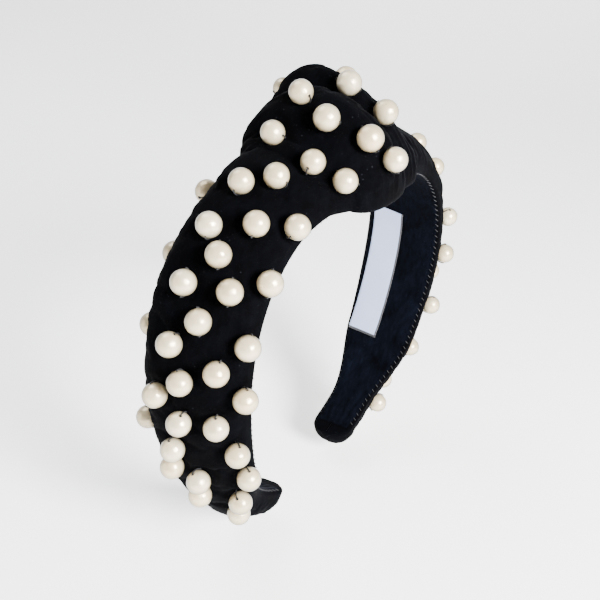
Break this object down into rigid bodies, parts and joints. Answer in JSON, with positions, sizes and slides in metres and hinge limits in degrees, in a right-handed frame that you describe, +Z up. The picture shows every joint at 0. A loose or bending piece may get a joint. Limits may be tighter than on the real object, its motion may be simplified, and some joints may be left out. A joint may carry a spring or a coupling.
{
  "type": "headband",
  "caption": "Padded knotted headband: velvet over a springy arch, faux pearls sewn over its outside, a lined inner face and a blank label.",
  "frame": {"origin": "middle of the crown's inner face, where the band rests on the top of the head", "axes": "+Z up, away from the head; X from the left leg to the right leg as seen from the front; -Y is the narrower front edge of the cone"},
  "size_m": [0.1718, 0.0709, 0.1678],
  "materials": {
    "velvet": "black velvet with a short dense pile",
    "lining": "blue-black matt woven lining",
    "padding": "soft open foam",
    "spring_core": "smooth black plastic strip",
    "pearl": "cream pearl lustre coating",
    "thread": "black sewing thread",
    "label": "pale satin-woven label, left blank"
  },
  "bodies": {
    "crown": {"foam_pad_crown": "padding", "knot_pad_far": "padding", "knot_pad_near": "padding", "knot_underwrap": "velvet", "knot_wrap_far": "velvet", "knot_wrap_near": "velvet", "lining_crown": "lining", "pearls_crown_left": "pearl", "pearls_crown_right": "pearl", "pearls_knot_far": "pearl", "pearls_knot_near": "pearl", "spring_core_crown": "spring_core", "threads_crown": "thread", "threads_knot_far": "thread", "threads_knot_near": "thread", "velvet_cover_crown": "velvet"},
    "left_leg": {"foam_pad_left": "padding", "lining_left": "lining", "pearls_left_lower": "pearl", "pearls_left_middle": "pearl", "pearls_left_upper": "pearl", "spring_core_left": "spring_core", "threads_left": "thread", "velvet_cover_left": "velvet", "velvet_tip_left": "velvet"},
    "right_leg": {"foam_pad_right": "padding", "label_tacks": "thread", "lining_right": "lining", "pearls_right_lower": "pearl", "pearls_right_middle": "pearl", "pearls_right_upper": "pearl", "spring_core_right": "spring_core", "threads_right": "thread", "velvet_cover_right": "velvet", "velvet_tip_right": "velvet", "woven_label": "label"}
  },
  "joints": [
    {"name": "left_leg_spread", "type": "hinge", "parent": "crown", "child": "left_leg", "pos_m": [-0.04412, 0, 0.00687], "axis": [0, 1, 0], "range_deg": [0, 14], "stiffness_Nm_per_rad": 1.6},
    {"name": "right_leg_spread", "type": "hinge", "parent": "crown", "child": "right_leg", "pos_m": [0.04412, 0, 0.00687], "axis": [0, -1, 0], "range_deg": [0, 14], "stiffness_Nm_per_rad": 1.6}
  ]
}
